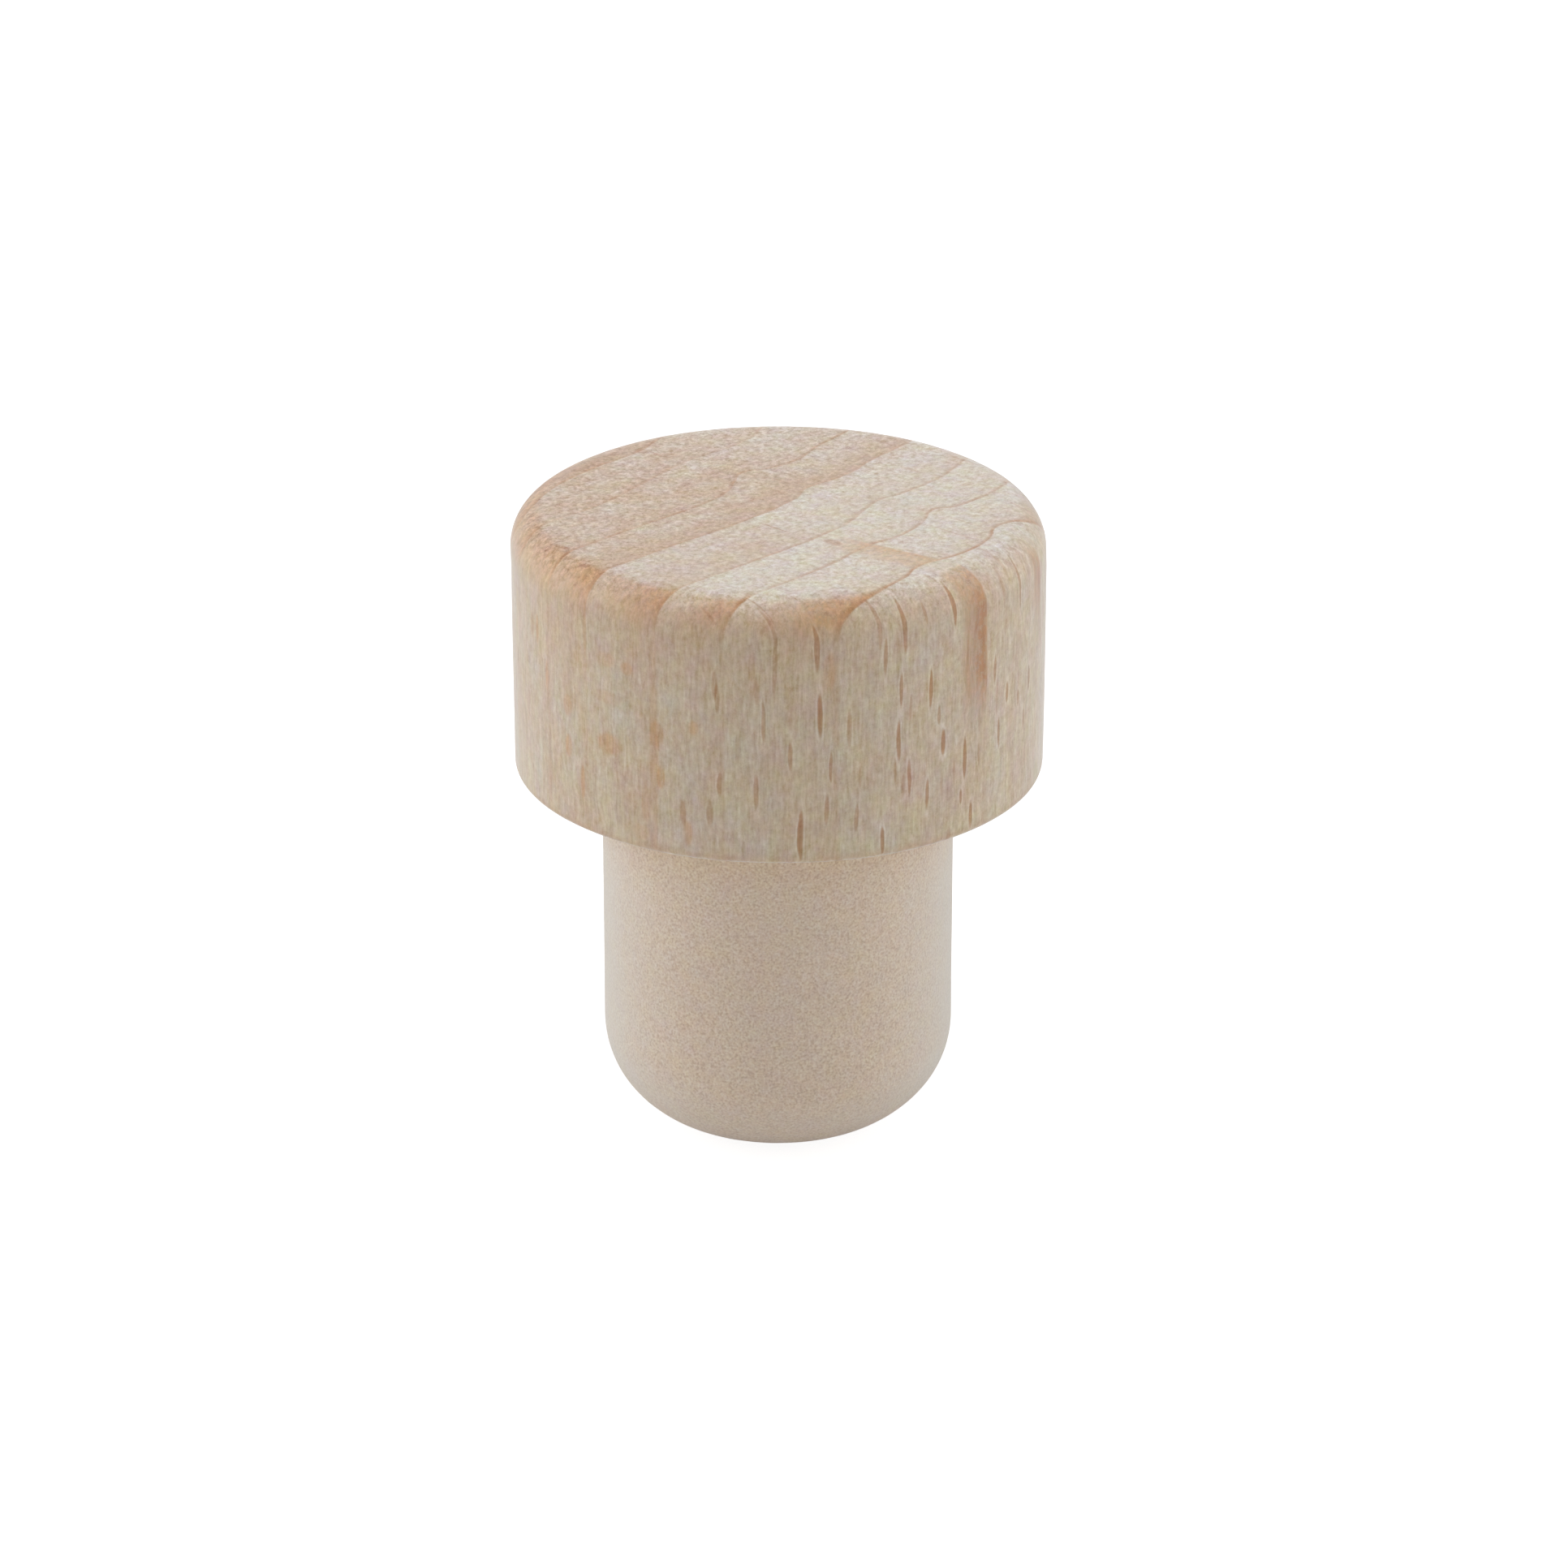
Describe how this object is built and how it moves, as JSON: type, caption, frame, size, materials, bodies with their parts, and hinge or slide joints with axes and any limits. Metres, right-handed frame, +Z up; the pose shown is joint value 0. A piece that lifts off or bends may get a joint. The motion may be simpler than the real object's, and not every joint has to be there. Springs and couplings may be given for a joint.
{
  "type": "mushroom cork",
  "caption": "Mushroom-shaped bottle stopper: a turned wooden head with eased edges, glued onto a straight cork-like shank with a rounded nose.",
  "frame": {"origin": "centre of the shank's flat end, which the stopper stands on", "axes": "+Z up along the common axis of shank and head; X and Y across, with the picture's view along +Y"},
  "size_m": [0.0285, 0.0284, 0.035],
  "materials": {
    "turned_wood": "finely sanded, unvarnished beech, end grain on the flat top, long grain on the side",
    "synthetic_cork": "matte foamed cork-like polymer with a fine speckle"
  },
  "bodies": {
    "root": {"wooden_head": "turned_wood", "cork_shank": "synthetic_cork"}
  },
  "joints": []
}
